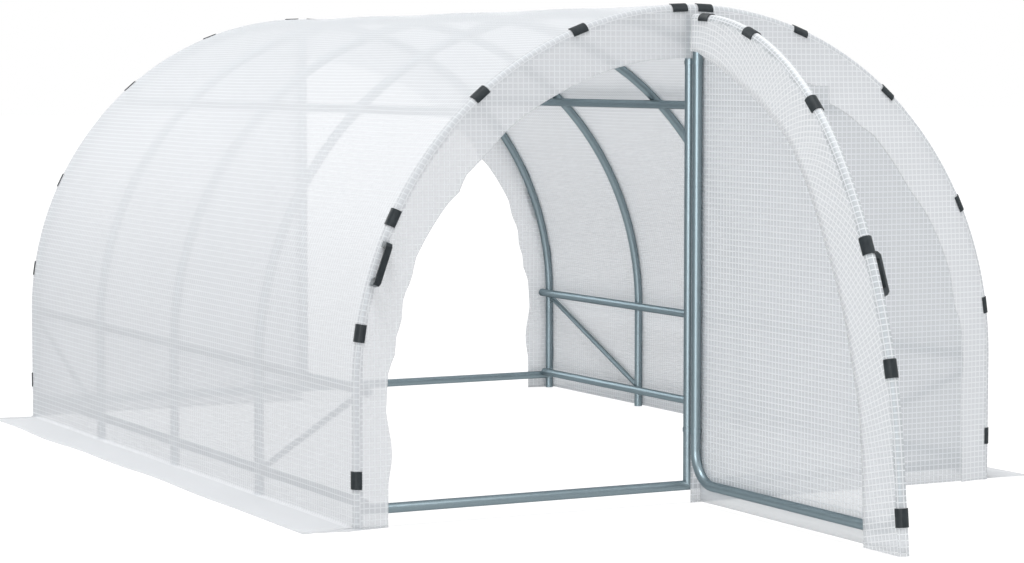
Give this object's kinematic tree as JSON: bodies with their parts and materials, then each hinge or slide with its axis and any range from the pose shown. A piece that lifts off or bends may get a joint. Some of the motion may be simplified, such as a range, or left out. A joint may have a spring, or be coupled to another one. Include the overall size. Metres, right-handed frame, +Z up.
{
  "type": "polytunnel greenhouse",
  "caption": "Walk-in polytunnel greenhouse: galvanised tube hoops under white grid film, clipped at the ends, with an arched door leaf standing open at each end.",
  "frame": {"origin": "middle of the footprint, on the ground", "axes": "+X across the tunnel, +Y along it from the front end to the back end, +Z up; the front doorway is at -X and the back one at +X"},
  "size_m": [3.43, 7.0954, 2.0332],
  "materials": {
    "galvanised_tube": "satin",
    "reinforced_film": "matte",
    "black_plastic": "matte"
  },
  "bodies": {
    "tunnel": {"front_hoop": "galvanised_tube", "second_hoop": "galvanised_tube", "middle_hoop": "galvanised_tube", "fourth_hoop": "galvanised_tube", "back_hoop": "galvanised_tube", "bottom_side_rails": "galvanised_tube", "middle_side_rails": "galvanised_tube", "roof_purlins": "galvanised_tube", "diagonal_braces": "galvanised_tube", "cover_right_wall": "reinforced_film", "cover_right_lower": "reinforced_film", "cover_right_shoulder": "reinforced_film", "cover_right_top": "reinforced_film", "cover_left_wall": "reinforced_film", "cover_left_lower": "reinforced_film", "cover_left_shoulder": "reinforced_film", "cover_left_top": "reinforced_film", "right_ground_skirt": "reinforced_film", "left_ground_skirt": "reinforced_film", "front_bottom_bar": "galvanised_tube", "front_centre_post": "galvanised_tube", "front_closed_flap": "reinforced_film", "front_doorway_flap": "reinforced_film", "front_end_panel": "reinforced_film", "front_hoop_clips": "black_plastic", "front_hoop_handle": "black_plastic", "front_hinge_bands": "galvanised_tube", "back_bottom_bar": "galvanised_tube", "back_centre_post": "galvanised_tube", "back_closed_flap": "reinforced_film", "back_doorway_flap": "reinforced_film", "back_end_panel": "reinforced_film", "back_hoop_clips": "black_plastic", "back_hoop_handle": "black_plastic", "back_hinge_bands": "galvanised_tube"},
    "front_door": {"front_door_frame": "galvanised_tube", "front_door_film": "reinforced_film", "front_door_hem": "reinforced_film", "front_door_clips": "black_plastic", "front_door_handle": "black_plastic"},
    "back_door": {"back_door_frame": "galvanised_tube", "back_door_film": "reinforced_film", "back_door_hem": "reinforced_film", "back_door_clips": "black_plastic", "back_door_handle": "black_plastic"}
  },
  "joints": [
    {"name": "front_door_hinge", "type": "hinge", "parent": "tunnel", "child": "front_door", "pos_m": [0, -2.062, 0.3], "axis": [0, 0, 1], "range_deg": [-90, 75]},
    {"name": "back_door_hinge", "type": "hinge", "parent": "tunnel", "child": "back_door", "pos_m": [0, 2.062, 0.3], "axis": [0, 0, 1], "range_deg": [-90, 75]}
  ]
}
